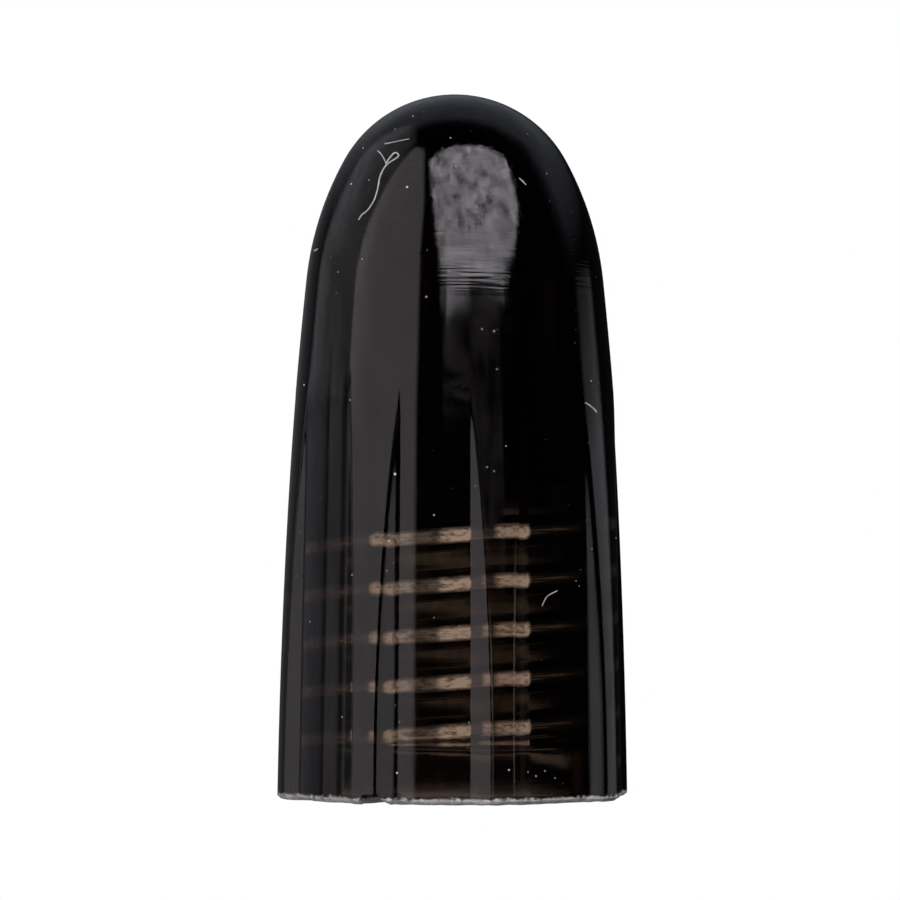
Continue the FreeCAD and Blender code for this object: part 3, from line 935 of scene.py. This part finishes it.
for x, y, width in SPECKS:
    found = surface_at((x, y))
    if found:
        add_speck(found[0] - found[1] * SPECK_SINK * MM, found[1], width * PIXEL / 2 * MM)
placed = len(dust.verts)
for stray in range(STRAY_SPECKS):
    angle = chance.uniform(0, 2 * pi)
    z = chance.uniform(0.4, 15.2)
    start = Vector((6 * cos(angle), 6 * sin(angle), z)) * MM
    hit, point, outward = smoked_cap.ray_cast(start, Vector((-cos(angle), -sin(angle), 0)))[:3]
    size = chance.lognormal(*STRAY_SIZE)
    if hit and hypot(point.x, point.y) / MM < STRAY_REACH:
        add_speck(point - outward * STRAY_SINK * size * MM, outward, size * MM)
dust_mesh = bpy.data.meshes.new("dust_specks")
dust.to_mesh(dust_mesh)
dust.free()
dust_mesh.shade_smooth()
dust_mesh.materials.append(dust_and_glow_finish)
dust_specks = bpy.data.objects.new("dust_specks", dust_mesh)
bpy.context.scene.collection.objects.link(dust_specks)
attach(dust_specks, "root")
print(f"{placed} points in placed specks, {len(dust_mesh.vertices)} in all")

# %% Fibres and scratches
FIBRES = [
    ([(359, 220), (362, 214), (366, 213), (374, 202), (378, 190), (380, 176), (386, 165), (394, 160),
      (400, 156), (396, 152), (391, 156), (386, 164)], 1.5),
    ([(378, 151), (383, 155), (386, 163)], 1.0),
    ([(385, 144), (396, 142), (409, 139)], 1.1),
    ([(585, 403), (590, 405), (596, 412)], 1.7),
    ([(542, 606), (545, 598), (550, 594), (557, 591)], 0.9),
    ([(315, 251), (318, 249)], 1.6),
    ([(519, 178), (523, 182), (526, 185)], 1.1),
]
for index, (route, width) in enumerate(FIBRES):
    knots = [surface_at(pixel) for pixel in route]
    knots = [knot for knot in knots if knot]
    curve = bpy.data.curves.new(f"fibre_{index}", "CURVE")
    curve.dimensions = "3D"
    curve.bevel_depth = width * PIXEL / 2 * MM
    curve.bevel_resolution = 2
    strand = curve.splines.new("NURBS")
    strand.points.add(len(knots) - 1)
    for spot, (point, outward) in zip(strand.points, knots):
        spot.co = (*(point + outward * curve.bevel_depth * 0.6), 1)
        spot.radius = 0.75 + 0.4 * chance.random()
    strand.order_u = min(3, len(knots))
    strand.use_endpoint_u = True
    curve.materials.append(fibre_and_glow_finish)
    fibre = bpy.data.objects.new(f"fibre_{index}", curve)
    bpy.context.scene.collection.objects.link(fibre)
    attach(fibre, "root")
print(f"{len(FIBRES)} fibres")

# %% [markdown]
# ## How light is followed
#
# Rays bounce inside clear plastic before they leave it. The dye swallows the long ways round, so
# ten bounces are enough here. The photo's white is plain white, so colours are shown without a
# film look.

# %% Bounces and colour
scene = bpy.context.scene
scene.view_settings.view_transform = "Standard"
BOUNCES = 10
GLOSSY_BOUNCES = 8
scene.cycles.max_bounces = BOUNCES
scene.cycles.transmission_bounces = BOUNCES
scene.cycles.glossy_bounces = GLOSSY_BOUNCES
scene.cycles.caustics_reflective = True
scene.cycles.caustics_refractive = True
scene.cycles.blur_glossy = 0.0
scene.cycles.sample_clamp_indirect = 0.0
print(f"{BOUNCES} bounces, colours shown plainly")

# %% [markdown]
# ## The sizes side by side
#
# The look must not change the part's size. Both boxes are printed side by side.

# %% Boxes side by side
visual_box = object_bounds()
boxes = {
    "cad": [list(cad_box[0]), list(cad_box[1])],
    "visual": [list(visual_box[0]), list(visual_box[1])],
}
for name, (low_corner, high_corner) in boxes.items():
    print(name, [round((b - a) / MM, 3) for a, b in zip(low_corner, high_corner)])
